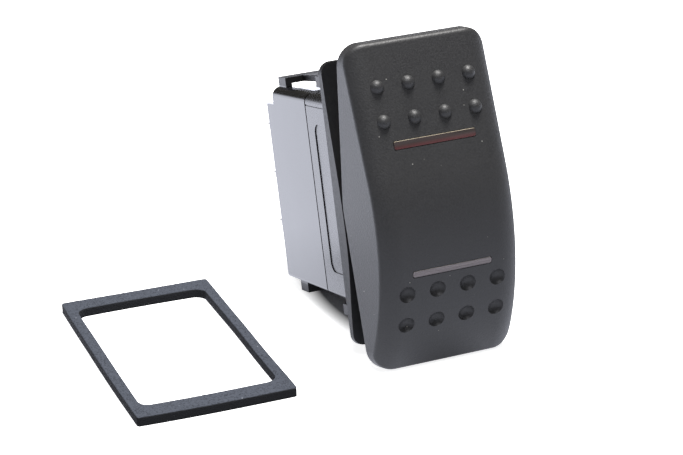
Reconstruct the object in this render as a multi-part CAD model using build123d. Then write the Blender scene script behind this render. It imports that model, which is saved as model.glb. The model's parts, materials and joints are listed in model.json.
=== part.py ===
from build123d import *
import math
import os

# Marine rocker switch with three positions, and its panel gasket lying beside it.
# Millimetres. X across the panel, +Y into the panel, +Z up the panel.
# The panel seat, which is the flange's rear face, is the plane y = 0.

# Panel flange, whose front face is arched under the rocker
FLANGE_W = 24.2
FLANGE_H = 45.1
FLANGE_CORNER = 1.9
FLANGE_TAPER = 6.0
FLANGE_EDGE_Y = -0.9
FLANGE_BLANK = 4.0
ARCH_OVER = 1.5
FLANGE_ARCH = (
    (-1.0, 20.0), (-1.6, 11.0), (-2.15, 5.0), (-2.5, -2.0),
    (-2.45, -8.0), (-1.75, -14.0), (-1.1, -19.3),
)

# Body behind the panel, in two halves
BODY_W = 21.0
BODY_TOP = 16.6
BODY_BOTTOM = -15.9
BODY_CORNER_X = 1.7
BODY_CORNER_Z = 1.3
BODY_CORNER_LOW = 0.6
BODY_WALL = 1.8
BODY_FRONT_Y = -0.5
SPLIT_Y = 11.8
SPLIT_GROOVE = 0.2
SPLIT_GROOVE_W = 0.35
REAR_Y = 30.0
NOTCH_Y = 26.8
NOTCH_Z = 13.8
FLOOR_Y = 22.0
OPENING_Z = 14.2
DIVIDER_T = 1.0
RECESS_Y = 9.0
RECESS_Z = 12.0
RECESS_CORNER = 1.6
RECESS_DEPTH = 0.15
BAND_Y = 1.0
BAND_Z = 14.7
BAND_W = 0.25
BAND_DEPTH = 0.15

# Snap wings, one over and one under the body
WING_W = 18.2
WING_BAR_Y = 23.5
WING_BAR_D = 3.3
WING_TOP = 18.2
WING_T = 1.0
WING_ARM_W = 12.0
WING_ARM_T = 1.2
WING_HEAD_Y = 9.5
WING_HEAD_TOP = 19.4
WING_HEAD_T = 1.7
WING_STEPS = ((5.2, 0.0), (4.4, 0.5), (3.6, 0.5), (2.8, 0.9), (2.0, 0.9), (1.5, 1.3))
LOWER_WING_SHIFT = 1.4
RAIL_UP = 0.7
RAIL_W = 1.1
RAIL_FRONT = 2.0

# Seal between the body halves
SEAL_W = 19.6
SEAL_H = 30.4
SEAL_LINE = 0.7
SEAL_DEPTH = 0.6
SEAL_CORNER = 1.2

# Rocker
ROCKER_W = 24.2
ROCKER_H = 51.8
ROCKER_CORNER = 3.6
ROCKER_TAPER = 2.3
ROCKER_WALL = 1.6
FRONT_Y = -15.15
FRONT_Z = 5.0
FRONT_SLOPE = 12.0
FRONT_RADIUS = 37.0
ROLL_W = 4.1
ROLL_RADIUS = 5.0
FRONT_EDGE = 0.8
SKIRT_Y = -3.15
SKIRT_TOP_SLOPE = 10.6
SKIRT_LOW_SLOPE = 5.7
SKIRT_RADIUS = 8.0
POST_X = 7.0
POST_Z = 12.5
POST_R = 1.5

# Bumps above and dimples below, four in a row
DOT_PITCH = 5.07
DOT_COUNT = 4
BUMP_ROWS = (18.8, 13.6)
BUMP_R = 1.15
BUMP_SUNK = 0.35
DIMPLE_ROWS = (-13.1, -18.2)
DIMPLE_R = 1.5
DIMPLE_RISE = 0.7

# Lenses, and the windows behind them
UPPER_LENS_W = 13.7
UPPER_LENS_H = 1.4
LOWER_LENS_W = 13.3
LOWER_LENS_H = 1.1
LENS_CORNER = 0.3
LENS_Z = 9.9
LENS_PROUD = 0.06
LENS_BACK = 0.6
WINDOW_W = 14.8
WINDOW_H = 6.8

# Carrier behind the rocker, with its trunnions and spring barrels
PIVOT_Y = 2.0
TRUNNION_R = 1.5
TRUNNION_IN = 0.8
TRUNNION_END_GAP = 0.2
RUN_CLEAR = 0.06
PLATE_Y = -9.4
PLATE_T = 1.2
PLATE_W = 19.2
PLATE_H = 34.0
HUB_H = 5.2
HUB_END_Y = -3.0
CHEEK_T = 1.3
CHEEK_H = 6.8
CHEEK_GAP = 0.4
CHEEK_END = 2.6
CHEEK_CUT = 1.2
BARREL_R = 2.5
BARREL_END = 10.4
BARREL_IN = 0.4

# Plungers and their springs
PLUNGER_R = 1.45
PLUNGER_REACH = 14.5
PLUNGER_BACK = 3.6
SPRING_R = 1.15
SPRING_WIRE = 0.2
SPRING_TURNS = 4
SPRING_SIDES = 4
BORE_BOTTOM = -2.6
SPRING_REST = 0.35

# Rocking contacts
VALLEY_GAP = 0.37
CONTACT_T = 0.7
CONTACT_W = 4.4
CONTACT_SIDE_GAP = 0.9
CONTACT_TILT = 12.5
CONTACT_OVER = 1.6
CLOSE_ANGLE = 4.0
PAD_R = 1.5
PAD_T = 0.5
PAD_LIFT = 0.02
PAD_GAP = 0.08

# Terminals
TERMINAL_PITCH = 8.35
TERMINAL_W = 6.3
TERMINAL_T = 0.8
TERMINAL_TIP = 37.4
TIP_CHAMFER = 1.1
BLADE_SHIFT = 0.8
HEAD_H = 4.0
SADDLE_H = 2.4
SADDLE_GAP = 0.05
HOLE_R = 0.85
HOLE_BACK = 3.2
LAMP_TERMINAL_Z = 12.9
LAMP_TERMINAL_W = 4.8
LAMP_TERMINAL_IN = 2.0

# Lamps
LAMP_R = 1.5
LAMP_FOOT_R = 1.9
LAMP_FOOT_T = 1.0
LAMP_TIP = -5.0
LAMP_BASE = 1.0
LAMP_POST_H = 4.2
LAMP_POST_GAP = 0.35

# Panel gasket, as it lies on the table
GASKET_W = 25.0
GASKET_H = 47.2
GASKET_T = 1.55
GASKET_SIDE = 1.65
GASKET_END = 3.9
GASKET_OUTER_CORNER = 0.5
GASKET_CORNER = 1.8
GASKET_PLACE = (-36.74, 14.78, -21.15)
TABLE_TILT = 12.2
GASKET_YAW = -2.85

FRONT = Plane.XZ
SIDE = Plane.YZ
PAST = 1.0
FAR = 9.0

# Fits that several pieces share
LENS_SIZE = {1: (UPPER_LENS_W, UPPER_LENS_H), -1: (LOWER_LENS_W, LOWER_LENS_H)}
INNER_X = BODY_W / 2 - BODY_WALL
COLUMN_X = INNER_X - CONTACT_SIDE_GAP - CONTACT_W / 2
LAMP_POST_X = COLUMN_X - TERMINAL_W / 2 - LAMP_POST_GAP
CHEEK_X = INNER_X - CHEEK_GAP - CHEEK_T / 2
TRUNNION_X = INNER_X + TRUNNION_IN
WING_BAR_REAR = WING_BAR_Y + WING_BAR_D
RAIL_X = WING_W / 2 - RAIL_W
PLUNGER_TIP = PIVOT_Y + PLUNGER_REACH
VALLEY_Y = PLUNGER_TIP + VALLEY_GAP
CONTACT_AXIS_Y = VALLEY_Y + CONTACT_T


def save(shape, name):
    shape.label = name
    export_step(shape, "parts/" + name + ".step")


def box(x0, x1, y0, y1, z0, z1):
    size = Box(abs(x1 - x0), y1 - y0, abs(z1 - z0))
    return Pos((x0 + x1) / 2, (y0 + y1) / 2, (z0 + z1) / 2) * size


def rod_y(x, z, r, y0, y1):
    return Pos(x, (y0 + y1) / 2, z) * Rot(90, 0, 0) * Cylinder(r, y1 - y0)


def rod_x(y, z, r, x0, x1):
    return Pos((x0 + x1) / 2, y, z) * Rot(0, 90, 0) * Cylinder(r, abs(x1 - x0))


def prism(points, half_width):
    face = make_face(Polyline(*points, close=True).edges())
    return extrude(SIDE * face, amount=half_width, both=True)


def slab(face, y0, y1):
    return Pos(0, y1, 0) * extrude(FRONT * face, amount=y1 - y0)


def mirror_z(shape):
    return mirror(shape, about=Plane.XY)


# Rocker shape

def front_centre():
    a = math.radians(FRONT_SLOPE)
    y = FRONT_Y + FRONT_RADIUS * math.cos(a)
    z = FRONT_Z - FRONT_RADIUS * math.sin(a)
    return y, z


def front_points(inset):
    a = math.radians(FRONT_SLOPE)
    y, z = front_centre()
    r = FRONT_RADIUS - inset
    points = []
    for deg in (FRONT_SLOPE, -20, -50):
        t = math.radians(deg)
        points.append((y - r * math.cos(t), z + r * math.sin(t)))
    top = points[0]
    up = (top[0] + ROCKER_H * math.sin(a), top[1] + ROCKER_H * math.cos(a))
    return [up] + points


def front_cutter(inset):
    up, top, middle, low = front_points(inset)
    out = FRONT_Y - FAR
    edges = ThreePointArc(top, middle, low).edges()
    edges += Polyline(low, (out, low[1]), (out, up[1]), up, top).edges()
    return extrude(SIDE * make_face(edges), amount=ROCKER_W, both=True)


def roll_cutter():
    up, top, middle, low = [(0, y, z) for y, z in front_points(0)]
    straight = Line(up, top)
    x = ROCKER_W / 2 - ROLL_W
    bend = []
    for deg in (0, 30, 60):
        t = math.radians(deg)
        bend.append((x + ROLL_RADIUS * math.sin(t), ROLL_RADIUS * (math.cos(t) - 1)))
    out = bend[2][0] + PAST
    edges = ThreePointArc(*bend).edges()
    edges += Polyline(bend[2], (out, bend[2][1]), (out, PAST), (x, PAST), bend[0]).edges()
    start = Plane(up, x_dir=(1, 0, 0), z_dir=straight % 0)
    path = straight + ThreePointArc(top, middle, low)
    cutter = sweep(start * make_face(edges), path=path)
    return cutter + mirror(cutter, about=Plane.YZ)


def rocker_blank(inset):
    plan = RectangleRounded(
        ROCKER_W - 2 * inset, ROCKER_H - 2 * inset, ROCKER_CORNER - inset
    )
    blank = extrude(FRONT * plan, amount=PAST - FRONT_Y, taper=ROCKER_TAPER)
    return blank - front_cutter(inset)


def skirt_cutter():
    up = math.tan(math.radians(SKIRT_TOP_SLOPE))
    low = math.tan(math.radians(SKIRT_LOW_SLOPE))
    reach = ROCKER_H / 2 + PAST
    outline = Polyline(
        (SKIRT_Y - up * reach, reach),
        (SKIRT_Y, 0),
        (SKIRT_Y - low * reach, -reach),
        (FAR, -reach),
        (FAR, reach),
        close=True,
    )
    face = make_face(outline.edges())
    apex = face.vertices().sort_by_distance((SKIRT_Y, 0, 0))[0]
    return extrude(SIDE * fillet(apex, SKIRT_RADIUS), amount=ROCKER_W, both=True)


def front_y(z):
    a = math.radians(FRONT_SLOPE)
    y, centre_z = front_centre()
    if z >= FRONT_Z:
        return FRONT_Y + (z - FRONT_Z) * math.tan(a)
    return y - math.sqrt(FRONT_RADIUS ** 2 - (z - centre_z) ** 2)


def lens_prism(up):
    width, height = LENS_SIZE[up]
    plan = RectangleRounded(width, height, LENS_CORNER)
    return Pos(0, 0, up * LENS_Z) * extrude(FRONT * plan, amount=PAST - FRONT_Y)


def bump(x, z):
    dome = Rot(90, 0, 0) * Sphere(BUMP_R)
    return Pos(x, front_y(z) + BUMP_SUNK, z) * dome


def dimple(x, z):
    return Pos(x, front_y(z) - DIMPLE_RISE, z) * Sphere(DIMPLE_R)


def front_rim(blank):
    sides = [f for f in blank.faces() if abs(f.normal_at().Y) < 0.5]
    edges = [e for f in sides for e in f.edges() if e.center().Y < SKIRT_Y]
    return [e for e in edges if abs(e.tangent_at(0.5).Y) < 0.9]


def make_actuator():
    outer = rocker_blank(0) - roll_cutter()
    shell = fillet(front_rim(outer), FRONT_EDGE) - rocker_blank(ROCKER_WALL)
    inside = rocker_blank(ROCKER_WALL - 1.0)
    for x in (-POST_X, POST_X):
        for z in (-POST_Z, POST_Z):
            post = rod_y(x, z, POST_R, FRONT_Y, PLATE_Y)
            shell += post & inside
    shell -= skirt_cutter()
    middle = (DOT_COUNT - 1) / 2
    for k in range(DOT_COUNT):
        x = DOT_PITCH * (k - middle)
        for z in BUMP_ROWS:
            shell += bump(x, z)
        for z in DIMPLE_ROWS:
            shell -= dimple(x, z)
    for up in (1, -1):
        shell -= lens_prism(up)
    return shell


def make_lens(up):
    skin = rocker_blank(-LENS_PROUD) - rocker_blank(ROCKER_WALL + LENS_BACK)
    return skin & lens_prism(up)


def make_cheek(s):
    x = s * CHEEK_X
    half = CHEEK_T / 2
    end = PIVOT_Y + CHEEK_END
    cheek = box(x - half, x + half, HUB_END_Y, end, -CHEEK_H / 2, CHEEK_H / 2)
    corners = [
        e for e in cheek.edges().filter_by(Axis.X) if e.center().Y > end - 0.1
    ]
    return chamfer(corners, CHEEK_CUT)


def make_carrier():
    back = PLATE_Y + PLATE_T
    body = box(
        -PLATE_W / 2, PLATE_W / 2, PLATE_Y, back, -PLATE_H / 2, PLATE_H / 2
    )
    for z in (LENS_Z, -LENS_Z):
        body -= box(
            -WINDOW_W / 2, WINDOW_W / 2, PLATE_Y - PAST, back + PAST,
            z - WINDOW_H / 2, z + WINDOW_H / 2,
        )
    side = CHEEK_X + CHEEK_T / 2
    body += box(-side, side, back, HUB_END_Y, -HUB_H / 2, HUB_H / 2)
    for s in (-1, 1):
        body += make_cheek(s)
        body += rod_y(s * COLUMN_X, 0, BARREL_R, HUB_END_Y - BARREL_IN, BARREL_END)
        body += rod_x(PIVOT_Y, 0, TRUNNION_R, s * CHEEK_X, s * TRUNNION_X)
    for s in (-1, 1):
        bore = PLUNGER_R + RUN_CLEAR
        body -= rod_y(s * COLUMN_X, 0, bore, BORE_BOTTOM, BARREL_END + PAST)
    return body


def make_plunger(s):
    x = s * COLUMN_X
    pin = rod_y(x, 0, PLUNGER_R, PLUNGER_BACK, PLUNGER_TIP - PLUNGER_R)
    return pin + Pos(x, PLUNGER_TIP - PLUNGER_R, 0) * Rot(90, 0, 0) * Sphere(PLUNGER_R)


def make_spring(s):
    y0 = BORE_BOTTOM + SPRING_WIRE
    y1 = PLUNGER_BACK - SPRING_REST - SPRING_WIRE
    path = Helix((y1 - y0) / SPRING_TURNS, y1 - y0, SPRING_R)
    start = Plane(path @ 0, z_dir=path % 0)
    wire = sweep(start * RegularPolygon(SPRING_WIRE, SPRING_SIDES), path=path, is_frenet=True)
    return Pos(s * COLUMN_X, y0, 0) * Rot(-90, 0, 0) * wire


# Contacts

def arm_y(z):
    return VALLEY_Y - abs(z) * math.tan(math.radians(CONTACT_TILT))


def make_contact(s):
    end = TERMINAL_PITCH + CONTACT_OVER
    t = CONTACT_T
    outline = [
        (VALLEY_Y, 0), (arm_y(end), end), (arm_y(end) + t, end),
        (VALLEY_Y + t, 0), (arm_y(end) + t, -end), (arm_y(end), -end),
    ]
    return Pos(s * COLUMN_X, 0, 0) * prism(outline, CONTACT_W / 2)


def make_contact_pad(s, up):
    y = arm_y(TERMINAL_PITCH) + CONTACT_T
    place = Pos(s * COLUMN_X, y, up * TERMINAL_PITCH)
    pad = Pos(0, 0, -PAD_T / 2 - PAD_LIFT) * Cylinder(PAD_R, PAD_T)
    return place * Rot(90 + up * CONTACT_TILT, 0, 0) * pad


def fixed_face_y():
    a = math.radians(CLOSE_ANGLE)
    tilt = math.radians(CONTACT_TILT)
    y = arm_y(TERMINAL_PITCH) + CONTACT_T + PAD_T / math.cos(tilt) - CONTACT_AXIS_Y
    swing = y * math.cos(a) + (TERMINAL_PITCH + PAD_R) * math.sin(a)
    return CONTACT_AXIS_Y + swing + PAD_GAP


def make_fixed_pad(s, up):
    y = fixed_face_y()
    return rod_y(s * COLUMN_X, up * TERMINAL_PITCH, PAD_R, y, y + PAD_T)


def blade(x, z, y0, width):
    t = TERMINAL_T / 2
    body = box(x - width / 2, x + width / 2, y0, TERMINAL_TIP, z - t, z + t)
    tip = body.edges().filter_by(Axis.Z).group_by(Axis.Y)[-1]
    body = chamfer(tip, TIP_CHAMFER)
    return body - Pos(x, TERMINAL_TIP - HOLE_BACK, z) * Cylinder(HOLE_R, 3)


def terminal(x, z, y, head_h):
    half = CONTACT_W / 2
    head = box(x - half, x + half, y, y + TERMINAL_T, z - head_h / 2, z + head_h / 2)
    return head + blade(x, z + BLADE_SHIFT, y, TERMINAL_W)


def make_outer_terminal(s, up):
    return terminal(s * COLUMN_X, up * TERMINAL_PITCH, fixed_face_y() + PAD_T, HEAD_H)


def make_centre_terminal(s):
    return terminal(s * COLUMN_X, 0, CONTACT_AXIS_Y + SADDLE_GAP, SADDLE_H)


def make_lamp_terminal(up):
    return blade(0, up * LAMP_TERMINAL_Z, FLOOR_Y - LAMP_TERMINAL_IN, LAMP_TERMINAL_W)


# Housing

def corner_arc(sx, x, z, cx, cz):
    pts = [(x, z - cz), (x - abs(cx) * 0.3, z - cz * 0.3), (x - cx, z)]
    return ThreePointArc(*[(sx * px, pz) for px, pz in pts]).edges()


def body_plan(inset):
    x = BODY_W / 2 - inset
    top = BODY_TOP - inset
    low = BODY_BOTTOM + inset
    cx, cz, cl = BODY_CORNER_X, BODY_CORNER_Z, BODY_CORNER_LOW
    edges = Line((cx - x, top), (x - cx, top)).edges()
    edges += Line((x, top - cz), (x, low + cl)).edges()
    edges += Line((x - cl, low), (cl - x, low)).edges()
    edges += Line((-x, low + cl), (-x, top - cz)).edges()
    for sx in (-1, 1):
        edges += corner_arc(sx, x, top, cx, cz)
        edges += corner_arc(sx, x, low, cl, -cl)
    return make_face(edges)


def make_flange():
    plate = FRONT * RectangleRounded(FLANGE_W, FLANGE_H, FLANGE_CORNER)
    flange = extrude(plate, amount=FLANGE_BLANK, taper=FLANGE_TAPER)
    edge = FLANGE_H / 2 + ARCH_OVER
    top = (FLANGE_EDGE_Y, edge)
    low = (FLANGE_EDGE_Y, -edge)
    arch = Spline(top, *FLANGE_ARCH, low)
    rest = Polyline(low, (-FAR, -edge), (-FAR, edge), top)
    front = make_face(arch.edges() + rest.edges())
    return flange - extrude(SIDE * front, amount=FLANGE_W, both=True)


def make_wing(shift, floor_z):
    half = WING_W / 2
    front = WING_BAR_Y + shift
    rear = WING_BAR_REAR + shift
    under = WING_TOP - WING_T
    wing = box(-half, half, front, rear, under, WING_TOP)
    rail = floor_z - RAIL_UP
    for sx in (-1, 1):
        wing += box(sx * RAIL_X, sx * half, front, rear, rail, WING_TOP)
        wing += box(sx * RAIL_X, sx * half, SPLIT_Y - RAIL_FRONT, rear, rail, floor_z)
    head_low = WING_HEAD_TOP - WING_HEAD_T
    arm_low = head_low + 0.2
    wing += prism(
        [
            (front + 0.5, WING_TOP), (front + 0.5, under),
            (WING_HEAD_Y, arm_low), (WING_HEAD_Y, arm_low + WING_ARM_T),
        ],
        WING_ARM_W / 2,
    )
    steps = [(y, WING_HEAD_TOP - drop) for y, drop in WING_STEPS]
    nose = (WING_STEPS[-1][0], head_low - 0.3)
    head = [(WING_HEAD_Y, head_low), (WING_HEAD_Y, WING_HEAD_TOP)] + steps + [nose]
    return wing + prism(head, half)


def make_bracket():
    body = slab(body_plan(0), BODY_FRONT_Y, SPLIT_Y)
    band = box(
        -BODY_W, BODY_W, BAND_Y, SPLIT_Y + PAST, BAND_Z, BAND_Z + BAND_W
    )
    core = BODY_W / 2 - BAND_DEPTH
    body -= band - box(-core, core, 0, SPLIT_Y + 2 * PAST, 0, BODY_TOP + PAST)
    plan = RectangleRounded(2 * RECESS_Y, 2 * RECESS_Z, RECESS_CORNER)
    recess = extrude(SIDE * plan, amount=RECESS_DEPTH, both=True)
    body -= Pos(-BODY_W / 2, 0, 0) * recess
    body += make_flange()
    body += make_wing(0, BODY_TOP)
    body += mirror_z(make_wing(LOWER_WING_SHIFT, -BODY_BOTTOM))
    body -= box(
        -INNER_X, INNER_X, -FLANGE_H, SPLIT_Y + PAST, -OPENING_Z, OPENING_Z
    )
    for s in (-1, 1):
        end = s * (TRUNNION_X + TRUNNION_END_GAP)
        body -= rod_x(PIVOT_Y, 0, TRUNNION_R + RUN_CLEAR, s * CHEEK_X, end)
    return body


def make_base():
    body = slab(body_plan(0), SPLIT_Y + SPLIT_GROOVE_W, REAR_Y)
    body += slab(body_plan(SPLIT_GROOVE), SPLIT_Y, SPLIT_Y + SPLIT_GROOVE_W + 0.05)
    body -= box(-BODY_W, BODY_W, NOTCH_Y, REAR_Y + PAST, NOTCH_Z, BODY_TOP + PAST)
    chamber = box(
        -INNER_X, INNER_X, SPLIT_Y - PAST, FLOOR_Y, -OPENING_Z, OPENING_Z
    )
    half = DIVIDER_T / 2
    body -= chamber - box(-half, half, SPLIT_Y + 1, FLOOR_Y, -OPENING_Z, OPENING_Z)
    top = BODY_TOP - RAIL_UP
    low = BODY_BOTTOM + RAIL_UP
    roof = BODY_TOP + PAST
    body -= box(-RAIL_X, RAIL_X, SPLIT_Y + 2, REAR_Y + PAST, top, roof)
    for sx in (-1, 1):
        x0, x1 = sx * RAIL_X, sx * WING_W / 2
        rear = WING_BAR_REAR
        body -= box(x0, x1, SPLIT_Y - PAST, rear, top, roof)
        body -= box(x0, x1, SPLIT_Y - PAST, rear + LOWER_WING_SHIFT, -roof, low)
    return body


def make_seal():
    outer = RectangleRounded(SEAL_W, SEAL_H, SEAL_CORNER)
    inner = RectangleRounded(
        SEAL_W - 2 * SEAL_LINE, SEAL_H - 2 * SEAL_LINE, SEAL_CORNER - SEAL_LINE
    )
    return slab(outer - inner, SPLIT_Y - SEAL_DEPTH, SPLIT_Y)


# Lamps

def make_lamp_post(up):
    z = up * LENS_Z
    half = LAMP_POST_H / 2
    return box(-LAMP_POST_X, LAMP_POST_X, LAMP_BASE, FLOOR_Y, z - half, z + half)


def make_lamp(up):
    z = up * LENS_Z
    lamp = rod_y(0, z, LAMP_R, LAMP_TIP + LAMP_R, LAMP_BASE)
    lamp += rod_y(0, z, LAMP_FOOT_R, LAMP_BASE - LAMP_FOOT_T, LAMP_BASE)
    return lamp + Pos(0, LAMP_TIP + LAMP_R, z) * Rot(90, 0, 0) * Sphere(LAMP_R)


def make_gasket():
    outer = RectangleRounded(GASKET_W, GASKET_H, GASKET_OUTER_CORNER)
    hole = RectangleRounded(
        GASKET_W - 2 * GASKET_SIDE, GASKET_H - 2 * GASKET_END, GASKET_CORNER
    )
    ring = extrude(outer - hole, amount=GASKET_T)
    return Location(GASKET_PLACE, (TABLE_TILT, 0, GASKET_YAW)) * ring


def save_pole(side, s):
    metal = [make_centre_terminal(s)]
    save(metal[0], "terminal_%s_centre" % side)
    save(make_contact(s), "contact_bridge_%s" % side)
    save(make_plunger(s), "plunger_%s" % side)
    save(make_spring(s), "plunger_spring_%s" % side)
    for end, up in (("upper", 1), ("lower", -1)):
        outer = make_outer_terminal(s, up)
        metal.append(outer)
        save(outer, "terminal_%s_%s" % (side, end))
        save(make_fixed_pad(s, up), "fixed_contact_%s_%s" % (side, end))
        save(make_contact_pad(s, up), "moving_contact_%s_%s" % (side, end))
    return metal


def save_lamp_set(end, up):
    post = make_lamp_post(up)
    feed = make_lamp_terminal(up)
    save(feed, "lamp_terminal_%s" % end)
    save(post, "lamp_post_%s" % end)
    save(make_lamp(up), "lamp_%s" % end)
    save(make_lens(up), "lens_%s" % end)
    return [post, feed]


def main():
    os.makedirs("parts", exist_ok=True)
    held = save_pole("left", -1) + save_pole("right", 1)
    held += save_lamp_set("upper", 1) + save_lamp_set("lower", -1)
    base = make_base()
    for piece in held:
        base -= piece
    save(base, "base")
    seal = make_seal()
    save(seal, "body_seal")
    save(make_bracket() - seal, "bracket")
    save(make_actuator(), "actuator")
    save(make_carrier(), "carrier")
    save(make_gasket(), "panel_gasket")


main()
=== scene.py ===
# %% [markdown]
# # Marine rocker switch
# This lesson dresses a snap-in rocker switch and its foam panel gasket.
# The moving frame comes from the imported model, in metres: X runs across the
# panel, +Y goes into the panel towards the terminals, and +Z runs up the rocker.
# Every piece we add rides on one of its bodies, so that it follows the joints.

# %% Load the frame
import bmesh
import bpy
import json
import math
from mathutils import Matrix, Vector, noise

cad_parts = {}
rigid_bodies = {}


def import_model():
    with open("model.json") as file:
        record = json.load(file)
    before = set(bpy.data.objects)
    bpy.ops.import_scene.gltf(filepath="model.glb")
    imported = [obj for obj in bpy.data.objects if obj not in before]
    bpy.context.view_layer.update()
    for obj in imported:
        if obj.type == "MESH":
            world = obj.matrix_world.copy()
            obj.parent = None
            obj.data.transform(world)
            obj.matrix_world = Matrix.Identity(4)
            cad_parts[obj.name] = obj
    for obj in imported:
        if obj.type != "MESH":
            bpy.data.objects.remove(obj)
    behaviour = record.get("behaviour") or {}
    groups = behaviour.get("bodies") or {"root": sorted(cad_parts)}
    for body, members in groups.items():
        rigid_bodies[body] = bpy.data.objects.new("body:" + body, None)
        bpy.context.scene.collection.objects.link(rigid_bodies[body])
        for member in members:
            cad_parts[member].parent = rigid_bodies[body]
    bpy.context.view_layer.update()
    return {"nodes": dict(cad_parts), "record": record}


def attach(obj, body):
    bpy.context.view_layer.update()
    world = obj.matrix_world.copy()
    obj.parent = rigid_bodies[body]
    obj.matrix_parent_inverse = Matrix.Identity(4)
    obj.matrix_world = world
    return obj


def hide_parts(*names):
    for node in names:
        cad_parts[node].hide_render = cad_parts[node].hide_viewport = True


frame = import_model()
nodes = frame["nodes"]
scene = bpy.context.scene
MM = 0.001

# %% [markdown]
# ## Camera
# The photograph was taken with a long lens from the front left, a little above
# the switch. A long lens keeps parallel edges nearly parallel, so we set its
# focal length and its distance together. The roll comes from how the switch
# lies: it leans on its lower snap wing, so its own frame is tipped.

# %% Place the camera
CAMERA_PLACE = (-0.14023, -0.33825, 0.06191)
CAMERA_TURN = (79.677, 6.864, -22.099)
FOCAL_LENGTH = 124.21
SENSOR_WIDTH = 36.0
NEAREST_SEEN = 0.01

camera_data = bpy.data.cameras.new("camera")
camera_data.lens = FOCAL_LENGTH
camera_data.sensor_width = SENSOR_WIDTH
camera_data.clip_start = NEAREST_SEEN
camera = bpy.data.objects.new("camera", camera_data)
camera.location = CAMERA_PLACE
camera.rotation_euler = [math.radians(a) for a in CAMERA_TURN]
scene.collection.objects.link(camera)
scene.camera = camera
scene.view_settings.view_transform = "Standard"
print("camera is", round(Vector(CAMERA_PLACE).length, 3), "m from the switch")

# %% [markdown]
# ## Colours
# A colour is written as an sRGB hex value, as a picker shows it. The renderer
# wants linear light, so one function turns one into the other.

# %% Hex to linear light
def linear(code):
    parts = [int(code[i:i + 2], 16) / 255 for i in (0, 2, 4)]
    light = [c / 12.92 if c <= 0.04045 else ((c + 0.055) / 1.055) ** 2.4 for c in parts]
    return (*light, 1.0)


print("charcoal in linear light:", [round(c, 3) for c in linear("404142")])

# %% [markdown]
# ## Nodes
# One function adds a node. Each input gets a value, or the output of another
# node, which is then linked. It returns the output to take on from there, the
# first one unless we ask for another. A Mix node lists its sockets for numbers
# first, so its two colours are inputs 6 and 7 and the mixed colour is output 2.
# Noise seldom leaves the middle of its range, so a Map Range node that reads
# noise stretches NOISE_MIDDLE over the whole. Patterns and reliefs are measured
# in millimetres, and `scale_for` turns a pattern's size into its node's scale.

# %% Helpers for materials
NUMBER_FROM, NUMBER_TO = 2, 3
COLOUR_FROM, COLOUR_TO = 6, 7
COLOUR_MIX = {"data_type": "RGBA", "take": 2}
NOISE_MIDDLE = {"From Min": 0.3, "From Max": 0.7}


def add_node(tree, kind, inputs=None, take=0, **settings):
    node = tree.nodes.new("ShaderNode" + kind)
    for name, value in settings.items():
        setattr(node, name, value)
    for name, value in (inputs or {}).items():
        if isinstance(value, bpy.types.NodeSocket):
            tree.links.new(value, node.inputs[name])
        else:
            node.inputs[name].default_value = value
    return node.outputs[take] if node.outputs else node


def new_material(name):
    material = bpy.data.materials.new(name)
    material.use_nodes = True
    tree = material.node_tree
    tree.nodes.clear()
    place = add_node(tree, "TexCoord", take="Object")
    return material, tree, place


def finish_material(tree, inputs):
    surface = add_node(tree, "BsdfPrincipled", inputs)
    add_node(tree, "OutputMaterial", {"Surface": surface})


def scale_for(size_mm):
    return 1.0 / (size_mm * MM)


print("a 0.28 mm grain has the noise scale", round(scale_for(0.28)))

# %% [markdown]
# ## Dust
# Dust makes a surface look used and gives its size away. We fill space with
# tiny balls, one for each cell of a Voronoi pattern, and where the surface
# cuts a ball we see a speck. The result is 1 in a speck and 0 between them.

# %% Dust specks
def dust(tree, place, spacing_mm, speck_mm):
    cells = add_node(tree, "TexVoronoi", {"Vector": place, "Scale": scale_for(spacing_mm)})
    edge = speck_mm / spacing_mm / 2
    return add_node(tree, "MapRange", {"Value": cells, "From Min": edge, "From Max": edge * 0.5})


print("dust: at most one speck in each cell of its pattern")

# %% [markdown]
# ## Rocker: spark-eroded nylon
# The rocker is glass-filled nylon from a tool with a fine spark-eroded
# texture. The eye sees a charcoal that is matte from the front and pale at a
# grazing angle, and whose pigment drifts a little over a few millimetres. The
# real texture is about 0.05 mm across, too fine for this view, so it is drawn
# at 0.28 mm. A few specks of dust lie on it.

# %% Rocker material
ROCKER_DARK = "242426"
ROCKER_LIGHT = "323233"
ROCKER_DUST = "a9a8a2"
PIGMENT_DRIFT = 6.0
SPARK_GRAIN = 0.28
SPARK_DEPTH = 0.045
NYLON_IOR = 1.5

rocker_nylon, tree, place = new_material("spark_eroded_nylon")
drift = add_node(tree, "TexNoise", {"Vector": place, "Scale": scale_for(PIGMENT_DRIFT), "Detail": 3.0})
fine = add_node(tree, "TexNoise", {"Vector": place, "Scale": scale_for(SPARK_GRAIN), "Roughness": 0.6})
shade = add_node(
    tree, "Mix",
    {"Factor": drift, COLOUR_FROM: linear(ROCKER_DARK), COLOUR_TO: linear(ROCKER_LIGHT)},
    **COLOUR_MIX,
)
peaks = add_node(tree, "MapRange", {"Value": fine, **NOISE_MIDDLE})
speckled = add_node(
    tree, "Mix", {"Factor": peaks, COLOUR_FROM: shade, COLOUR_TO: linear(ROCKER_LIGHT)}, **COLOUR_MIX
)
specks = dust(tree, place, spacing_mm=2.6, speck_mm=0.22)
dusty = add_node(
    tree, "Mix", {"Factor": specks, COLOUR_FROM: speckled, COLOUR_TO: linear(ROCKER_DUST)}, **COLOUR_MIX
)
matte = add_node(tree, "MapRange", {"Value": fine, **NOISE_MIDDLE, "To Min": 0.44, "To Max": 0.54})
relief = add_node(tree, "Bump", {"Height": fine, "Distance": SPARK_DEPTH * MM})
finish_material(
    tree, {"IOR": NYLON_IOR, "Base Color": dusty, "Roughness": matte, "Normal": relief}
)
print("rocker:", rocker_nylon.name)

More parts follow.
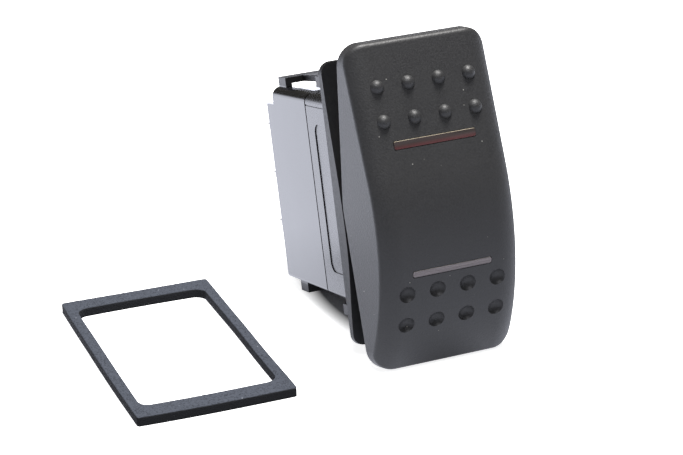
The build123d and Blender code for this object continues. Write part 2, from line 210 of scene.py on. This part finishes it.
# %% [markdown]
# ## Body: polished and satin nylon
# The base comes from a polished tool. It is near black, but it mirrors the
# white table at a low angle, and that is why the side looks pale grey in the
# photograph. Long, very shallow waves from the moulding bend the mirrored edge
# a little, so a smooth noise of 9 mm drives a faint bump. The bracket is a
# second moulding: satin on the body, and matt on the flange, in front of the
# panel seat at y = 0, and on the snap wings, which stand out above and below the
# body. The flange's etched texture also stands in relief. One function makes
# both finishes, because the base has neither flange nor wings.

# %% Body materials
BODY_DARK = "0b0b0d"
BODY_LIGHT = "141417"
FLANGE_BLEND = 0.1
WING_FROM, WING_TO = 16.7, 16.9
WAVE_LENGTH, WAVE_DEPTH = 9.0, 0.02
ETCH_GRAIN, ETCH_DEPTH = 0.22, 0.01
HAZE_GRAIN, BLACK_DRIFT = 0.35, 4.0
MATT_LOW, MATT_HIGH = 0.42, 0.55
NO_RELIEF = 0.5


def black_nylon(name, polish_low, polish_high):
    material, tree, place = new_material(name)
    haze = add_node(
        tree, "TexNoise",
        {"Vector": place, "Scale": scale_for(HAZE_GRAIN), "Detail": 3.0, "Roughness": 0.6},
    )
    waves = add_node(tree, "TexNoise", {"Vector": place, "Scale": scale_for(WAVE_LENGTH), "Detail": 1.0})
    etch = add_node(tree, "TexNoise", {"Vector": place, "Scale": scale_for(ETCH_GRAIN), "Roughness": 0.6})
    drift = add_node(tree, "TexNoise", {"Vector": place, "Scale": scale_for(BLACK_DRIFT)})

    depth = add_node(tree, "SeparateXYZ", {"Vector": place}, take="Y")
    rise = add_node(tree, "SeparateXYZ", {"Vector": place}, take="Z")
    outward = add_node(tree, "Math", {0: rise}, operation="ABSOLUTE")
    flange = add_node(
        tree, "MapRange", {"Value": depth, "From Min": FLANGE_BLEND * MM, "From Max": -FLANGE_BLEND * MM}
    )
    wing = add_node(
        tree, "MapRange", {"Value": outward, "From Min": WING_FROM * MM, "From Max": WING_TO * MM}
    )
    matt = add_node(tree, "Math", {0: flange, 1: wing}, operation="MAXIMUM")

    polish = add_node(
        tree, "MapRange", {"Value": haze, **NOISE_MIDDLE, "To Min": polish_low, "To Max": polish_high}
    )
    texture = add_node(
        tree, "MapRange", {"Value": haze, **NOISE_MIDDLE, "To Min": MATT_LOW, "To Max": MATT_HIGH}
    )
    roughness = add_node(tree, "Mix", {"Factor": matt, NUMBER_FROM: polish, NUMBER_TO: texture})
    etched = add_node(tree, "Mix", {"Factor": flange, NUMBER_FROM: NO_RELIEF, NUMBER_TO: etch})
    wavy = add_node(tree, "Bump", {"Height": waves, "Distance": WAVE_DEPTH * MM})
    relief = add_node(tree, "Bump", {"Height": etched, "Distance": ETCH_DEPTH * MM, "Normal": wavy})
    black = add_node(
        tree, "Mix", {"Factor": drift, COLOUR_FROM: linear(BODY_DARK), COLOUR_TO: linear(BODY_LIGHT)},
        **COLOUR_MIX,
    )
    finish_material(
        tree, {"IOR": NYLON_IOR, "Base Color": black, "Roughness": roughness, "Normal": relief}
    )
    return material


base_nylon = black_nylon("polished_black_nylon", polish_low=0.12, polish_high=0.18)
bracket_nylon = black_nylon("satin_black_nylon", polish_low=0.22, polish_high=0.30)
print("body:", base_nylon.name, bracket_nylon.name)

# %% [markdown]
# ## Lenses: tinted polycarbonate
# Each lens is a moulded light pipe, flush with the rocker. Unlit, it shows the
# tint of its plastic over a dark hollow: wine red above and smoky mauve below,
# deeper towards the lower edge. Faint lines along it are flow marks, so the
# noise is stretched along the lens. Faces that point up get a pale painted
# highlight, where the upper edge catches the light.

# %% Lens materials
LENS_RISE = 9.9
FLOW_LENGTH, FLOW_WIDTH, FLOW_DEPTH = 8.33, 0.294, 0.01
LOW_EDGE_FROM, LOW_EDGE_TO = 0.1, -0.6
TOP_HIGHLIGHT_PAINT = "b3a892"


def tinted_polycarbonate(name, dark, light, low_edge, height):
    material, tree, place = new_material(name)
    drawn = add_node(
        tree, "Mapping", {"Vector": place, "Scale": (scale_for(FLOW_LENGTH), 1.0, scale_for(FLOW_WIDTH))}
    )
    streaks = add_node(tree, "TexNoise", {"Vector": drawn, "Scale": 1.0})
    lines = add_node(tree, "MapRange", {"Value": streaks, **NOISE_MIDDLE})
    tint = add_node(
        tree, "Mix", {"Factor": lines, COLOUR_FROM: linear(dark), COLOUR_TO: linear(light)}, **COLOUR_MIX
    )
    rise = add_node(tree, "SeparateXYZ", {"Vector": place}, take="Z")
    low = add_node(
        tree, "MapRange",
        {"Value": rise, "From Min": (height + LOW_EDGE_FROM) * MM, "From Max": (height + LOW_EDGE_TO) * MM},
    )
    deeper = add_node(
        tree, "Mix", {"Factor": low, COLOUR_FROM: tint, COLOUR_TO: linear(low_edge)}, **COLOUR_MIX
    )
    # Painted highlight: faces that point up are mixed towards a pale beige.
    facing = add_node(tree, "NewGeometry", take="True Normal")
    upward = add_node(tree, "SeparateXYZ", {"Vector": facing}, take="Z")
    top_highlight_mask = add_node(tree, "MapRange", {"Value": upward, "From Min": 0.6, "From Max": 0.9})
    with_top_highlight = add_node(
        tree, "Mix", {"Factor": top_highlight_mask, COLOUR_FROM: deeper, COLOUR_TO: linear(TOP_HIGHLIGHT_PAINT)}, **COLOUR_MIX
    )
    gloss = add_node(tree, "MapRange", {"Value": streaks, **NOISE_MIDDLE, "To Min": 0.30, "To Max": 0.42})
    relief = add_node(tree, "Bump", {"Height": streaks, "Distance": FLOW_DEPTH * MM})
    finish_material(tree, {"IOR": 1.58, "Base Color": with_top_highlight, "Roughness": gloss, "Normal": relief})
    return material


red_lens = tinted_polycarbonate(
    "wine_red_polycarbonate", dark="3d3634", light="4c4040", low_edge="603436", height=LENS_RISE
)
smoke_lens = tinted_polycarbonate(
    "smoke_polycarbonate", dark="7a7276", light="a29a9e", low_edge="8b8388", height=-LENS_RISE
)
print("lenses:", red_lens.name, smoke_lens.name)

# %% [markdown]
# ## Gasket: closed-cell foam
# The gasket is stamped from a sheet of closed-cell rubber foam. Its skin is
# blue-black and dull, with open cells of about 0.3 mm that read as fine
# pores, and its cut sides are painted darker: painted shade where less light falls.

# %% Foam material
FOAM_DARK = "1a1c21"
FOAM_LIGHT = "474b54"
FOAM_SIDE_SHADE = "303134"
FOAM_DUST = "8d9199"
CELL_SIZE, CELL_DEPTH = 0.3, 0.06
CLUSTER_SIZE, CLUSTER_DEPTH = 0.7, 0.05

foam, tree, place = new_material("closed_cell_foam")
cells = add_node(tree, "TexVoronoi", {"Vector": place, "Scale": scale_for(CELL_SIZE)})
clusters = add_node(tree, "TexNoise", {"Vector": place, "Scale": scale_for(CLUSTER_SIZE), "Detail": 3.0})
pores = add_node(tree, "MapRange", {"Value": cells, "From Min": 0.1, "From Max": 0.6})
porous = add_node(
    tree, "Mix", {"Factor": pores, COLOUR_FROM: linear(FOAM_DARK), COLOUR_TO: linear(FOAM_LIGHT)},
    **COLOUR_MIX,
)
patches = add_node(tree, "MapRange", {"Value": clusters, "From Min": 0.35, "From Max": 0.75})
uneven = add_node(
    tree, "Mix", {"Factor": patches, COLOUR_FROM: porous, COLOUR_TO: linear(FOAM_LIGHT)}, **COLOUR_MIX
)
# Painted shade: faces that don't point up, the cut sides, get a darker colour.
facing = add_node(tree, "NewGeometry", take="True Normal")
upward = add_node(tree, "SeparateXYZ", {"Vector": facing}, take="Z")
skin = add_node(tree, "MapRange", {"Value": upward, "From Min": 0.2, "From Max": 0.6})
with_side_shade = add_node(
    tree, "Mix", {"Factor": skin, COLOUR_FROM: linear(FOAM_SIDE_SHADE), COLOUR_TO: uneven}, **COLOUR_MIX
)
specks = dust(tree, place, spacing_mm=2.0, speck_mm=0.26)
dusty = add_node(
    tree, "Mix", {"Factor": specks, COLOUR_FROM: with_side_shade, COLOUR_TO: linear(FOAM_DUST)}, **COLOUR_MIX
)
lumpy = add_node(tree, "Bump", {"Height": clusters, "Distance": CLUSTER_DEPTH * MM})
relief = add_node(tree, "Bump", {"Height": cells, "Distance": CELL_DEPTH * MM, "Normal": lumpy})
finish_material(
    tree,
    {"IOR": 1.45, "Specular IOR Level": 0.2, "Roughness": 0.9, "Base Color": dusty, "Normal": relief},
)
print("gasket:", foam.name)

# %% [markdown]
# ## Seal: moulded silicone rubber
# A thin ring of rubber closes the split line of the body. Only its edge shows,
# as a dull black line, so a soft drift of two blacks is enough.

# %% Rubber material
RUBBER_GRAIN, RUBBER_DEPTH = 0.5, 0.01

rubber, tree, place = new_material("moulded_silicone_rubber")
soft = add_node(tree, "TexNoise", {"Vector": place, "Scale": scale_for(RUBBER_GRAIN), "Detail": 3.0})
black = add_node(
    tree, "Mix", {"Factor": soft, COLOUR_FROM: linear("141414"), COLOUR_TO: linear("232323")},
    **COLOUR_MIX,
)
relief = add_node(tree, "Bump", {"Height": soft, "Distance": RUBBER_DEPTH * MM})
finish_material(tree, {"Roughness": 0.6, "Base Color": black, "Normal": relief})
print("seal:", rubber.name)

# %% [markdown]
# ## Metals: rolled strip
# Blades are stamped brass with a thin coat of tin, contact bridges are bare
# copper alloy, their pads are silver and the springs are drawn steel. Rolling
# and drawing leave scratches that run one way and stretch the highlights, so
# the noise is long one way: 3.3 mm against a sixth of a millimetre.

# %% Metal materials
SCRATCH_LENGTH = 10 / 3
SCRATCH_WIDTH = 1 / 6
SCRATCH_DEPTH = 0.003
ROUGHNESS_RANGE = 0.15


def rolled_metal(name, dark, light, roughness, stretch):
    material, tree, place = new_material(name)
    drawn = add_node(tree, "Mapping", {"Vector": place, "Scale": stretch})
    scratches = add_node(tree, "TexNoise", {"Vector": drawn, "Scale": 1.0, "Detail": 3.0})
    lines = add_node(tree, "MapRange", {"Value": scratches, **NOISE_MIDDLE})
    bright = add_node(
        tree, "Mix", {"Factor": lines, COLOUR_FROM: linear(dark), COLOUR_TO: linear(light)}, **COLOUR_MIX
    )
    worn = add_node(
        tree, "MapRange",
        {"Value": scratches, **NOISE_MIDDLE, "To Min": roughness, "To Max": roughness + ROUGHNESS_RANGE},
    )
    relief = add_node(tree, "Bump", {"Height": scratches, "Distance": SCRATCH_DEPTH * MM})
    finish_material(tree, {"Metallic": 1.0, "Base Color": bright, "Roughness": worn, "Normal": relief})
    return material


along, across = scale_for(SCRATCH_LENGTH), scale_for(SCRATCH_WIDTH)
ALONG_Y = (across, along, across)
ALONG_Z = (across, across, along)
tinned = rolled_metal("tinned_brass", "b3afa4", "d2cfc6", roughness=0.25, stretch=ALONG_Y)
copper = rolled_metal("rolled_copper_alloy", "a8694a", "cf9270", roughness=0.3, stretch=ALONG_Z)
silver = rolled_metal("silver_contact", "c9c8c3", "e4e3de", roughness=0.25, stretch=ALONG_Z)
steel = rolled_metal("drawn_spring_steel", "77787c", "9fa0a4", roughness=0.28, stretch=ALONG_Z)
print("metals:", tinned.name, copper.name, silver.name, steel.name)

# %% [markdown]
# ## Inner plastics and glass
# The carrier is natural nylon and the plungers are acetal, both moulded
# without pigment: milky and a little yellow, because light goes in a short
# way before it comes out. The lamps are small bulbs of thin clear glass.

# %% Unpigmented plastics
CLOUD_SIZE = 1.5
MOULD_GRAIN, MOULD_DEPTH = 0.3, 0.004
LIGHT_REACH = 2.0


def natural_plastic(name, dark, light):
    material, tree, place = new_material(name)
    cloud = add_node(tree, "TexNoise", {"Vector": place, "Scale": scale_for(CLOUD_SIZE), "Detail": 3.0})
    fine = add_node(tree, "TexNoise", {"Vector": place, "Scale": scale_for(MOULD_GRAIN)})
    milky = add_node(
        tree, "Mix", {"Factor": cloud, COLOUR_FROM: linear(dark), COLOUR_TO: linear(light)}, **COLOUR_MIX
    )
    satin = add_node(tree, "MapRange", {"Value": cloud, **NOISE_MIDDLE, "To Min": 0.40, "To Max": 0.52})
    relief = add_node(tree, "Bump", {"Height": fine, "Distance": MOULD_DEPTH * MM})
    finish_material(
        tree,
        {"IOR": 1.53, "Subsurface Weight": 0.1, "Subsurface Scale": LIGHT_REACH * MM,
         "Base Color": milky, "Roughness": satin, "Normal": relief},
    )
    return material


carrier_nylon = natural_plastic("natural_nylon", "b9b4a4", "cdc9ba")
plunger_acetal = natural_plastic("natural_acetal", "d5d2c6", "e6e3d8")
print("inner plastics:", carrier_nylon.name, plunger_acetal.name)

# %% Lamp glass
GLASS_DRIFT = 0.8

lamp_glass, tree, place = new_material("lamp_glass")
thin = add_node(tree, "TexNoise", {"Vector": place, "Scale": scale_for(GLASS_DRIFT)})
clear = add_node(
    tree, "Mix", {"Factor": thin, COLOUR_FROM: linear("d9dcdc"), COLOUR_TO: linear("f1f3f3")},
    **COLOUR_MIX,
)
smooth = add_node(tree, "MapRange", {"Value": thin, **NOISE_MIDDLE, "To Min": 0.02, "To Max": 0.10})
finish_material(
    tree, {"Transmission Weight": 0.9, "IOR": 1.5, "Base Color": clear, "Roughness": smooth}
)
print("lamps:", lamp_glass.name)

# %% [markdown]
# ## Dress the CAD nodes
# The record names one material slot for each node. One table from slot to
# material dresses them all, and a node keeps its own shape and place. The
# bracket shares the base's slot but came from another tool, so it gets the
# satin material.

# %% Assign materials by slot
FINISH = {
    "rocker_plastic": rocker_nylon, "housing_plastic": base_nylon,
    "carrier_nylon": carrier_nylon, "plunger_nylon": plunger_acetal,
    "red_lens": red_lens, "smoke_lens": smoke_lens, "lamp_glass": lamp_glass,
    "tinned_brass": tinned, "copper_strip": copper, "silver_contact": silver,
    "spring_steel": steel, "seal_rubber": rubber, "gasket_foam": foam,
}
for part in frame["record"]["subparts"]:
    cad = nodes[part["node"]]
    cad.data.materials.clear()
    cad.data.materials.append(FINISH[part["material_slot"]])
nodes["bracket"].data.materials[0] = bracket_nylon

# %% [markdown]
# ## From sections to a piece
# A lens bar and the gasket are both made of closed loops of points, one after
# another. `skin` puts a quad between each pair of neighbours and can close the
# row of loops into a ring. `add_piece` makes the mesh, turns its faces
# outwards, and lets the piece ride on its body.

# %% Skin loops of points and add a piece
def skin(rows, count, ring=False):
    faces = []
    for i in range(rows if ring else rows - 1):
        start, after = i * count, (i + 1) % rows * count
        for k in range(count):
            nxt = (k + 1) % count
            faces.append((start + k, start + nxt, after + nxt, after + k))
    return faces


def add_piece(name, points, faces, body, material):
    mesh = bpy.data.meshes.new(name)
    mesh.from_pydata([Vector(p) * MM for p in points], [], faces)
    shape = bmesh.new()
    shape.from_mesh(mesh)
    bmesh.ops.recalc_face_normals(shape, faces=shape.faces)
    shape.to_mesh(mesh)
    shape.free()
    piece = bpy.data.objects.new(name, mesh)
    scene.collection.objects.link(piece)
    mesh.materials.append(material)
    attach(piece, body)
    return piece


print("a ring of 3 loops of 4 points has", len(skin(3, 4, ring=True)), "quads")

# %% [markdown]
# ## Lens bars
# Each lens is pushed through a slot from behind, so a hairline gap runs round
# it. The upper one stands a little proud along its top edge, and that edge
# catches the lamp as a thin bright line, helped by a painted highlight on faces
# that point up. The lower one has fine flutes along it, which spread the lamp's
# light. A bar is a section, from one long edge to the other, repeated along the
# width and drawn in at its rounded ends.

# %% Section and ends of a lens bar
LENS_GAP = 0.07
LENS_DEPTH = 2.2
LENS_CORNER = 0.3
LENS_EDGE_ROUND = 0.08
SECTION_STEPS = 28
END_STEPS = 6


def ease(distance, reach):
    if distance >= reach:
        return 0.0
    return reach - math.sqrt(reach ** 2 - (reach - distance) ** 2)


def lens_section(half, face):
    section = [(-half, -LENS_DEPTH)]
    for k in range(SECTION_STEPS + 1):
        v = 2 * k / SECTION_STEPS - 1
        edge = half - abs(v) * half
        section.append((v * half, face(v) - ease(edge, LENS_EDGE_ROUND)))
    section.append((half, -LENS_DEPTH))
    return section


def lens_stations(width):
    stations = []
    end = width / 2 - LENS_CORNER
    for k in range(END_STEPS + 1):
        t = math.radians(90 * (1 - k / END_STEPS))
        stations.append((-end - LENS_CORNER * math.sin(t), LENS_CORNER * (1 - math.cos(t))))
    return stations + [(-x, cut) for x, cut in reversed(stations)]


print("a lens bar has", len(lens_stations(10.0)), "sections")

# %% Build the lens bars
UPPER_SLOT, LOWER_SLOT = (13.7, 1.4), (13.3, 1.1)
UPPER_MIDDLE, LOWER_MIDDLE = (0, -14.11, LENS_RISE), (0, -15.25, -LENS_RISE)
UPPER_LEAN, LOWER_LEAN = 12.0, -11.24
PROUD_MIDDLE, PROUD_RISE = 0.02, 0.07
FLUTES, FLUTE_CREST, FLUTE_DEPTH = 3, 0.03, 0.05


def proud_at_top(v):
    return PROUD_MIDDLE + PROUD_RISE * (v + 1)


def fluted(v):
    return FLUTE_CREST - FLUTE_DEPTH * abs(math.sin(FLUTES / 2 * math.pi * (v + 1)))


def lens_bar(name, slot_size, middle, lean, face, material):
    up = Vector((0, math.sin(lean), math.cos(lean)))
    out = Vector((0, -math.cos(lean), math.sin(lean)))
    width = slot_size[0] - 2 * LENS_GAP
    half = slot_size[1] / 2 - LENS_GAP
    section = lens_section(half, face)
    points = []
    for x, cut in lens_stations(width):
        for rise, proud in section:
            rise *= (half - cut) / half
            points.append(Vector(middle) + up * rise + out * proud + Vector((x, 0, 0)))
    count = len(section)
    rows = len(points) // count
    ends = [tuple(range(count)), tuple((rows - 1) * count + k for k in range(count))]
    return add_piece(name, points, ends + skin(rows, count), "rocker", material)


upper = lens_bar(
    "lens_bar_upper", UPPER_SLOT, UPPER_MIDDLE, math.radians(UPPER_LEAN), proud_at_top,
    red_lens,
)
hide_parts("lens_upper")
lower = lens_bar(
    "lens_bar_lower", LOWER_SLOT, LOWER_MIDDLE, math.radians(LOWER_LEAN), fluted,
    smoke_lens,
)
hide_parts("lens_lower")

# %% [markdown]
# ## Foam gasket: outline
# A stamped foam ring is never quite straight: its sides bow by a few tenths of
# a millimetre. The ring is built from matched outer and inner outlines, each a
# rectangle with round corners and many points along its sides, and two small
# functions bow them. The long side to the right is a little wide, and the near
# end sags outwards.

# %% Outline the gasket
GASKET_W, GASKET_H, GASKET_T = 25.0, 47.2, 1.55
GASKET_SIDE, GASKET_END = 1.65, 3.9
OUTER_CORNER, INNER_CORNER = 0.5, 1.8
CORNER_STEPS, SIDE_STEPS = 14, 90
SIDE_BOW, RIGHT_WIDER, NEAR_BOW = 0.16, 0.2, 0.2
HOLE_END_BOW, HOLE_SIDE_BOW = 0.28, 0.168


def ring_outline(width, height, corner):
    arcs = []
    for sx, sy, start in ((1, -1, -90), (1, 1, 0), (-1, 1, 90), (-1, -1, 180)):
        cx, cy = sx * (width / 2 - corner), sy * (height / 2 - corner)
        turn = [math.radians(start + 90 * k / CORNER_STEPS) for k in range(CORNER_STEPS + 1)]
        arcs.append([Vector((cx + corner * math.cos(t), cy + corner * math.sin(t))) for t in turn])
    points = []
    for arc, following in zip(arcs, arcs[1:] + arcs[:1]):
        points += arc
        points += [arc[-1].lerp(following[0], k / SIDE_STEPS) for k in range(1, SIDE_STEPS)]
    return points


def bow_outer(x, y):
    side = RIGHT_WIDER if x > 0 else SIDE_BOW * ((2 * y / GASKET_H) ** 2 - 1)
    near = NEAR_BOW * ((2 * x / GASKET_W) ** 2 - 1) if y < 0 else 0.0
    return Vector((x + side, y + near, 0))


def bow_inner(x, y):
    if abs(y) > GASKET_H / 2 - GASKET_END - INNER_CORNER / 2:
        return Vector((x, y + math.copysign(HOLE_END_BOW * (1 - (2 * x / GASKET_W) ** 2), y), 0))
    side = HOLE_SIDE_BOW * (1 - (2 * y / GASKET_H) ** 2) if x > 0 else 0.0
    return Vector((x + side, y, 0))


hole_w, hole_h = GASKET_W - 2 * GASKET_SIDE, GASKET_H - 2 * GASKET_END
outer_line = [bow_outer(x, y) for x, y in ring_outline(GASKET_W, GASKET_H, OUTER_CORNER)]
inner_line = [bow_inner(x, y) for x, y in ring_outline(hole_w, hole_h, INNER_CORNER)]
print("each outline has", len(outer_line), "points")

# %% [markdown]
# ## Foam gasket: body
# Between the outlines goes a section: up the outer wall, round the pressed
# edge, across the top and down again. Slow noise bends the ring and lets its
# top sag between the corners, and quick noise roughens the top like the open
# cells of cut foam. Slow noise starts from a random place, so we fix its seed:
# each run then gives the same ring. Last, the ring is laid on the table, which
# is tipped in the switch's own frame.

# %% Build the gasket and lay it down
GASKET_PLACE = (-36.74, 14.78, -21.15)
GASKET_YAW = math.radians(-2.85)
TABLE_TILT = math.radians(12.2)
EDGE_ROUND = 0.18
EDGE_ANGLES = (30, 60, 90)
WALL_HEIGHTS = (0.0, 0.35, 0.7, 1.0, GASKET_T - EDGE_ROUND)
TOP_STEPS = 12
SLOW_START = Vector((3.1, 0.4, 7.7))
SLOW_PER_MM, SLOW_SHIFT, SLOW_RISE = 0.07, 0.10, 0.08
QUICK_PER_MM, QUICK_RISE = (1.7, 3.9), 0.05
TOP_SAG = 0.05
NOISE_SEED = 4


def wall_section():
    section = [(0.0, height) for height in WALL_HEIGHTS]
    for t in map(math.radians, EDGE_ANGLES):
        rise = GASKET_T - EDGE_ROUND + EDGE_ROUND * math.sin(t)
        section.append((EDGE_ROUND * (1 - math.cos(t)), rise))
    return section


def gasket_loop(out_point, in_point):
    inward = (in_point - out_point).normalized()
    wall = wall_section()
    loop = [out_point + inward * d + Vector((0, 0, h)) for d, h in wall]
    far_wall = [in_point - inward * d + Vector((0, 0, h)) for d, h in reversed(wall)]
    top = [loop[-1].lerp(far_wall[0], k / TOP_STEPS) for k in range(1, TOP_STEPS)]
    return loop + top + far_wall


def roughen(p):
    slow = noise.noise_vector(p * SLOW_PER_MM + SLOW_START)
    quick = sum(noise.noise(p * per_mm) for per_mm in QUICK_PER_MM) / 2
    rise = p.z / GASKET_T * (SLOW_RISE * slow.z - TOP_SAG + QUICK_RISE * quick)
    return p + Vector((SLOW_SHIFT * slow.x, SLOW_SHIFT * slow.y, rise))


lay = Matrix.Translation(Vector(GASKET_PLACE)) @ Matrix.Rotation(TABLE_TILT, 4, "X")
lay = lay @ Matrix.Rotation(GASKET_YAW, 4, "Z")
noise.seed_set(NOISE_SEED)
loops = [gasket_loop(a, b) for a, b in zip(outer_line, inner_line)]
points = [lay @ roughen(p) for loop in loops for p in loop]
faces = skin(len(loops), len(loops[0]), ring=True)
gasket = add_piece("foam_gasket", points, faces, "housing", foam)
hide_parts("panel_gasket")
for piece in (upper, lower, gasket):
    for face in piece.data.polygons:
        face.use_smooth = piece is gasket
print("gasket faces:", len(gasket.data.polygons))

# %% [markdown]
# ## Table
# The switch lies on a white table, leaning on its lower wing and on the
# rocker's lower edge, so in the switch's frame the table is tipped by 12
# degrees. One large plane is enough. It is part of the stage, not of the model.

# %% Build the table
TABLE_DROP = -0.0238
TABLE_HALF = 3.0
CORNERS = ((-1, -1), (1, -1), (1, 1), (-1, 1))

right = Vector((1, 0, 0))
back = Vector((0, math.cos(TABLE_TILT), math.sin(TABLE_TILT)))
middle = right.cross(back) * TABLE_DROP
points = [middle + right * TABLE_HALF * a + back * TABLE_HALF * b for a, b in CORNERS]
table_mesh = bpy.data.meshes.new("table")
table_mesh.from_pydata(points, [], [(0, 1, 2, 3)])
table = bpy.data.objects.new("table", table_mesh)
scene.collection.objects.link(table)
print("table leans", round(math.degrees(TABLE_TILT), 1), "degrees under the switch")

# %% [markdown]
# ## Paper
# The table is white paper, overexposed in the photograph, so that only the
# shadow under the body is left. We copy that: to the camera the paper is a
# diffuse white plus a glow, and the glow fades out inside an ellipsoid under the
# body, which leaves painted shade there as well as the real shadow. SHADE_CENTRE
# and SHADE_SIZE give its middle and half sizes, and `far` is 1 on its surface.
# To glossy rays the paper glows, though it is no lamp: brighter than to the
# camera, and brighter behind than in front. This alone makes the polished side
# of the body pale. Its glow dims under the body, a painted shadow in what the
# body mirrors, and again far behind. To all other rays it gives a weak, even
# bounce. From below it is clear, so that a camera under the table sees the switch.

# %% Paper, as each kind of ray sees it
SHADE_CENTRE = (0.0, 0.020, -0.0200)
SHADE_SIZE = (0.0098, 0.027, 0.027)
GLOW, GLOW_FROM, GLOW_TO = 0.85, 0.70, 1.0
BOUNCE = 0.35
MIRROR_FRONT, MIRROR_BACK = 1.6, 3.3
MIRROR_FROM, MIRROR_TO = -0.015, 0.055
SHADE_SHARE, SHADE_FROM, SHADE_TO = 0.1, 0.9, 1.35
FAR_SHARE, FAR_FROM, FAR_TO = 0.4, 0.35, 0.80

paper, tree, place = new_material("white_paper")
under_body = add_node(
    tree, "Mapping", {"Vector": place, "Location": SHADE_CENTRE, "Scale": SHADE_SIZE},
    vector_type="TEXTURE",
)
far = add_node(tree, "VectorMath", {0: under_body}, take="Value", operation="LENGTH")
depth = add_node(tree, "SeparateXYZ", {"Vector": place}, take="Y")

# Painted shade: the glow fades inside the ellipsoid under the body, so the paper darkens there even where
# no shadow falls.
lift = add_node(
    tree, "MapRange", {"Value": far, "From Min": GLOW_FROM, "From Max": GLOW_TO, "To Max": GLOW}
)
diffuse = add_node(tree, "BsdfDiffuse", {"Color": linear("f4f4f4")})
glow = add_node(tree, "Emission", {"Strength": lift})
seen = add_node(tree, "AddShader", {0: diffuse, 1: glow})

shine = add_node(
    tree, "MapRange",
    {"Value": depth, "From Min": MIRROR_FROM, "From Max": MIRROR_TO,
     "To Min": MIRROR_FRONT, "To Max": MIRROR_BACK},
)
# Painted shadow: the glossy glow dims inside the ellipsoid under the body, and it also fades far behind.
for distance, near_edge, far_edge, near_share, far_share in (
    (far, SHADE_FROM, SHADE_TO, SHADE_SHARE, 1.0),
    (depth, FAR_FROM, FAR_TO, 1.0, FAR_SHARE),
):
    share = add_node(
        tree, "MapRange",
        {"Value": distance, "From Min": near_edge, "From Max": far_edge,
         "To Min": near_share, "To Max": far_share},
    )
    shine = add_node(tree, "Math", {0: shine, 1: share}, operation="MULTIPLY")
mirror = add_node(tree, "Emission", {"Color": linear("eff2ff"), "Strength": shine})

# %% Choose by ray and finish the paper
surface = add_node(tree, "Emission", {"Strength": BOUNCE})
below = add_node(tree, "BsdfTransparent")
for kind, output, shader in (
    ("LightPath", "Is Camera Ray", seen),
    ("LightPath", "Is Glossy Ray", mirror),
    ("NewGeometry", "Backfacing", below),
):
    chosen = add_node(tree, kind, take=output)
    surface = add_node(tree, "MixShader", {0: chosen, 1: surface, 2: shader})
add_node(tree, "OutputMaterial", {"Surface": surface})
paper.cycles.emission_sampling = "NONE"
table_mesh.materials.append(paper)
print("paper glows with", GLOW, "outside the shadow")

# %% [markdown]
# ## Light
# The photograph has soft light from above and a little from the front left, a
# bright table and a dark room behind the camera. The world is white to the
# camera, dim to glossy rays, and a plain cool grey to the rest. Two round soft
# lamps shine on the switch: a strong one above, a little off the zenith so
# that flat tops don't mirror it, and a weak one in front for the rocker.

# %% World
world = bpy.data.worlds.new("studio")
scene.world = world
world.use_nodes = True
tree = world.node_tree
tree.nodes.clear()
surface = add_node(tree, "Background", {"Color": linear("e8ecf2"), "Strength": 0.22})
room = add_node(tree, "Background", {"Color": linear("c9c4b8"), "Strength": 0.16})
white = add_node(tree, "Background", {"Color": linear("ffffff"), "Strength": 1.0})
for ray, light in (
    ("Is Glossy Ray", room),
    ("Is Transmission Ray", room),
    ("Is Camera Ray", white),
):
    chosen = add_node(tree, "LightPath", take=ray)
    surface = add_node(tree, "MixShader", {0: chosen, 1: surface, 2: light})
add_node(tree, "OutputWorld", {"Surface": surface})
world.cycles.sampling_method = "NONE"
print("world:", world.name)

# %% Lamps
def soft_lamp(name, place, size, watts, colour):
    data = bpy.data.lights.new(name, "AREA")
    data.shape = "DISK"
    data.size = size
    data.energy = watts
    data.color = linear(colour)[:3]
    lamp = bpy.data.objects.new(name, data)
    lamp.location = place
    aim = -Vector(place)
    lamp.rotation_euler = aim.to_track_quat("-Z", "Y").to_euler()
    scene.collection.objects.link(lamp)
    return lamp


overhead = soft_lamp("overhead", place=(0.08, -0.08, 0.50), size=0.20, watts=5.2, colour="fffdfa")
front = soft_lamp("front", place=(-0.10, -0.33, 0.45), size=0.20, watts=1.2, colour="f8f9ff")
print("lamps:", overhead.name, front.name)
